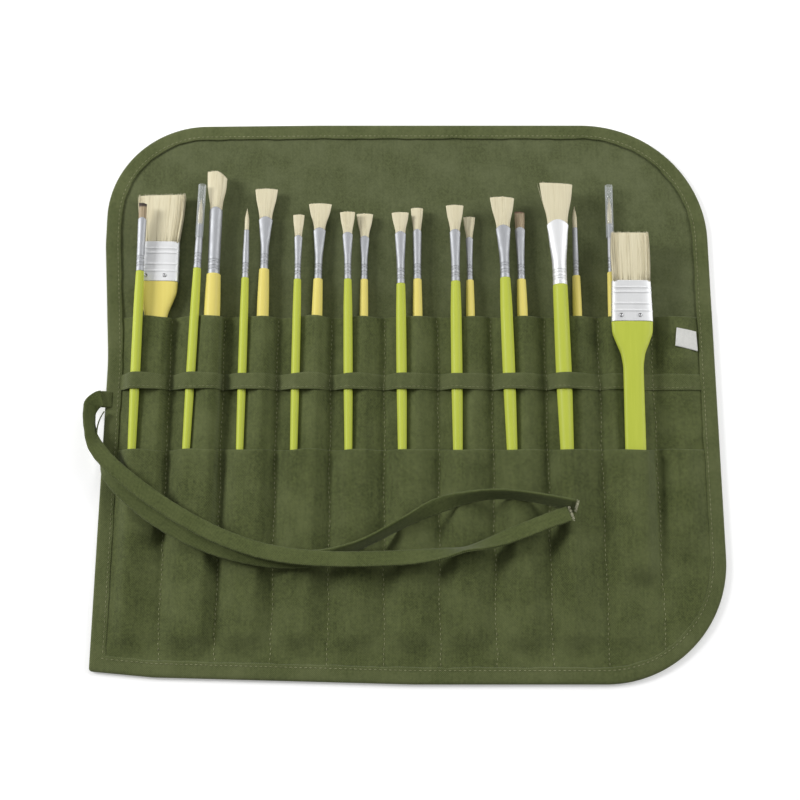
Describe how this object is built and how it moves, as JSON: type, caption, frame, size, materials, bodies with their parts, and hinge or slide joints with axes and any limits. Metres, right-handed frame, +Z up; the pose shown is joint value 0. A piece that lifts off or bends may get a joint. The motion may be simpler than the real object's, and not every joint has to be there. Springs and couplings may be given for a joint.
{
  "type": "brush roll case",
  "caption": "Flat canvas roll-up case laid open, with two rows of stitched pockets holding long-handled artist brushes, a retaining band, bound edge and long tie.",
  "frame": {"origin": "centre of the case's outline at its underside, where it lies on the table, leaving out the loose tie", "axes": "+X across the pockets to the right, +Y along the brushes towards the bristles, +Z up out of the table"},
  "size_m": [0.3844, 0.353, 0.0199],
  "materials": {
    "canvas": "olive green cotton canvas",
    "canvas_tape": "folded olive canvas tape, topstitched",
    "label_cloth": "white woven label, blank",
    "green_lacquer": "glossy lime green lacquer on wood",
    "yellow_lacquer": "glossy pale yellow lacquer on wood",
    "ferrule_metal": "bright plated ferrule with cream bristles",
    "rivet_metal": "bright rivets",
    "clear_plastic": "clear flexible plastic tube"
  },
  "bodies": {
    "case": {"outer_cover": "canvas", "lining": "canvas", "upper_pocket": "canvas", "lower_pocket": "canvas", "retaining_band": "canvas_tape", "edge_binding": "canvas_tape", "tie_anchor": "canvas_tape", "tie_front": "canvas_tape", "tie_back": "canvas_tape"},
    "end_flap": {"end_flap_cover": "canvas", "end_flap_lining": "canvas", "end_flap_upper_pocket": "canvas", "end_flap_lower_pocket": "canvas", "end_flap_band": "canvas_tape", "end_flap_binding": "canvas_tape", "care_label": "label_cloth"},
    "green_brush_01": {"green_brush_01_handle": "green_lacquer", "green_brush_01_head": "ferrule_metal"},
    "green_brush_02": {"green_brush_02_handle": "green_lacquer", "green_brush_02_head": "ferrule_metal"},
    "green_brush_02_sleeve": {"green_brush_02_sleeve": "clear_plastic"},
    "green_brush_03": {"green_brush_03_handle": "green_lacquer", "green_brush_03_head": "ferrule_metal"},
    "green_brush_04": {"green_brush_04_handle": "green_lacquer", "green_brush_04_head": "ferrule_metal"},
    "green_brush_05": {"green_brush_05_handle": "green_lacquer", "green_brush_05_head": "ferrule_metal"},
    "green_brush_06": {"green_brush_06_handle": "green_lacquer", "green_brush_06_head": "ferrule_metal"},
    "green_brush_07": {"green_brush_07_handle": "green_lacquer", "green_brush_07_head": "ferrule_metal"},
    "green_brush_08": {"green_brush_08_handle": "green_lacquer", "green_brush_08_head": "ferrule_metal"},
    "green_brush_09": {"green_brush_09_handle": "green_lacquer", "green_brush_09_head": "ferrule_metal"},
    "green_brush_10": {"green_brush_10_handle": "green_lacquer", "green_brush_10_head": "ferrule_metal", "green_brush_10_rivets": "rivet_metal"},
    "yellow_brush_01": {"yellow_brush_01_handle": "yellow_lacquer", "yellow_brush_01_head": "ferrule_metal", "yellow_brush_01_rivets": "rivet_metal"},
    "yellow_brush_02": {"yellow_brush_02_handle": "yellow_lacquer", "yellow_brush_02_head": "ferrule_metal"},
    "yellow_brush_03": {"yellow_brush_03_handle": "yellow_lacquer", "yellow_brush_03_head": "ferrule_metal"},
    "yellow_brush_04": {"yellow_brush_04_handle": "yellow_lacquer", "yellow_brush_04_head": "ferrule_metal"},
    "yellow_brush_05": {"yellow_brush_05_handle": "yellow_lacquer", "yellow_brush_05_head": "ferrule_metal"},
    "yellow_brush_06": {"yellow_brush_06_handle": "yellow_lacquer", "yellow_brush_06_head": "ferrule_metal"},
    "yellow_brush_07": {"yellow_brush_07_handle": "yellow_lacquer", "yellow_brush_07_head": "ferrule_metal"},
    "yellow_brush_08": {"yellow_brush_08_handle": "yellow_lacquer", "yellow_brush_08_head": "ferrule_metal"},
    "yellow_brush_09": {"yellow_brush_09_handle": "yellow_lacquer", "yellow_brush_09_head": "ferrule_metal"},
    "yellow_brush_10": {"yellow_brush_10_handle": "yellow_lacquer", "yellow_brush_10_head": "ferrule_metal"},
    "yellow_brush_10_sleeve": {"yellow_brush_10_sleeve": "clear_plastic"}
  },
  "joints": [
    {"name": "end_flap_fold", "type": "hinge", "parent": "case", "child": "end_flap", "pos_m": [0.15194, 0, 0.0034], "axis": [0, -1, 0], "range_deg": [0, 70]},
    {"name": "green_brush_01_slide", "type": "slide", "parent": "case", "child": "green_brush_01", "axis": [0.0057, 0.9992, 0.0399], "range_m": [0, 0.16]},
    {"name": "green_brush_02_slide", "type": "slide", "parent": "case", "child": "green_brush_02", "axis": [0.0278, 0.9991, 0.0307], "range_m": [0, 0.16]},
    {"name": "green_brush_02_sleeve_slide", "type": "slide", "parent": "green_brush_02", "child": "green_brush_02_sleeve", "axis": [0.0278, 0.9991, 0.0307], "range_m": [0, 0.04]},
    {"name": "green_brush_03_slide", "type": "slide", "parent": "case", "child": "green_brush_03", "axis": [0.0058, 0.9997, 0.0216], "range_m": [0, 0.16]},
    {"name": "green_brush_04_slide", "type": "slide", "parent": "case", "child": "green_brush_04", "axis": [0.0046, 0.9998, 0.0216], "range_m": [0, 0.16]},
    {"name": "green_brush_05_slide", "type": "slide", "parent": "case", "child": "green_brush_05", "axis": [-0.0117, 0.9997, 0.0211], "range_m": [0, 0.16]},
    {"name": "green_brush_06_slide", "type": "slide", "parent": "case", "child": "green_brush_06", "axis": [-0.0085, 0.9997, 0.0221], "range_m": [0, 0.16]},
    {"name": "green_brush_07_slide", "type": "slide", "parent": "case", "child": "green_brush_07", "axis": [-0.0038, 0.9997, 0.0231], "range_m": [0, 0.16]},
    {"name": "green_brush_08_slide", "type": "slide", "parent": "case", "child": "green_brush_08", "axis": [-0.022, 0.9994, 0.025], "range_m": [0, 0.16]},
    {"name": "green_brush_09_slide", "type": "slide", "parent": "case", "child": "green_brush_09", "axis": [-0.0157, 0.9994, 0.0293], "range_m": [0, 0.16]},
    {"name": "green_brush_10_slide", "type": "slide", "parent": "case", "child": "green_brush_10", "axis": [0.0065, 0.999, 0.0452], "range_m": [0, 0.076]},
    {"name": "yellow_brush_01_slide", "type": "slide", "parent": "case", "child": "yellow_brush_01", "axis": [0.006, 0.9999, 0.0108], "range_m": [0, 0.136]},
    {"name": "yellow_brush_02_slide", "type": "slide", "parent": "case", "child": "yellow_brush_02", "axis": [0.0077, 0.9998, 0.0175], "range_m": [0, 0.2]},
    {"name": "yellow_brush_03_slide", "type": "slide", "parent": "case", "child": "yellow_brush_03", "axis": [0.0076, 0.9999, 0.0127], "range_m": [0, 0.2]},
    {"name": "yellow_brush_04_slide", "type": "slide", "parent": "case", "child": "yellow_brush_04", "axis": [0.0161, 0.9998, 0.0115], "range_m": [0, 0.2]},
    {"name": "yellow_brush_05_slide", "type": "slide", "parent": "case", "child": "yellow_brush_05", "axis": [0.0026, 1, 0.0087], "range_m": [0, 0.2]},
    {"name": "yellow_brush_06_slide", "type": "slide", "parent": "case", "child": "yellow_brush_06", "axis": [-0.0025, 0.9999, 0.0106], "range_m": [0, 0.2]},
    {"name": "yellow_brush_07_slide", "type": "slide", "parent": "case", "child": "yellow_brush_07", "axis": [-0.002, 1, 0.0094], "range_m": [0, 0.2]},
    {"name": "yellow_brush_08_slide", "type": "slide", "parent": "case", "child": "yellow_brush_08", "axis": [-0.0084, 0.9999, 0.0118], "range_m": [0, 0.2]},
    {"name": "yellow_brush_09_slide", "type": "slide", "parent": "case", "child": "yellow_brush_09", "axis": [0.0006, 0.9999, 0.0101], "range_m": [0, 0.2]},
    {"name": "yellow_brush_10_slide", "type": "slide", "parent": "case", "child": "yellow_brush_10", "axis": [0.0097, 0.9999, 0.0082], "range_m": [0, 0.2]},
    {"name": "yellow_brush_10_sleeve_slide", "type": "slide", "parent": "yellow_brush_10", "child": "yellow_brush_10_sleeve", "axis": [0.0097, 0.9999, 0.0082], "range_m": [0, 0.04]}
  ]
}
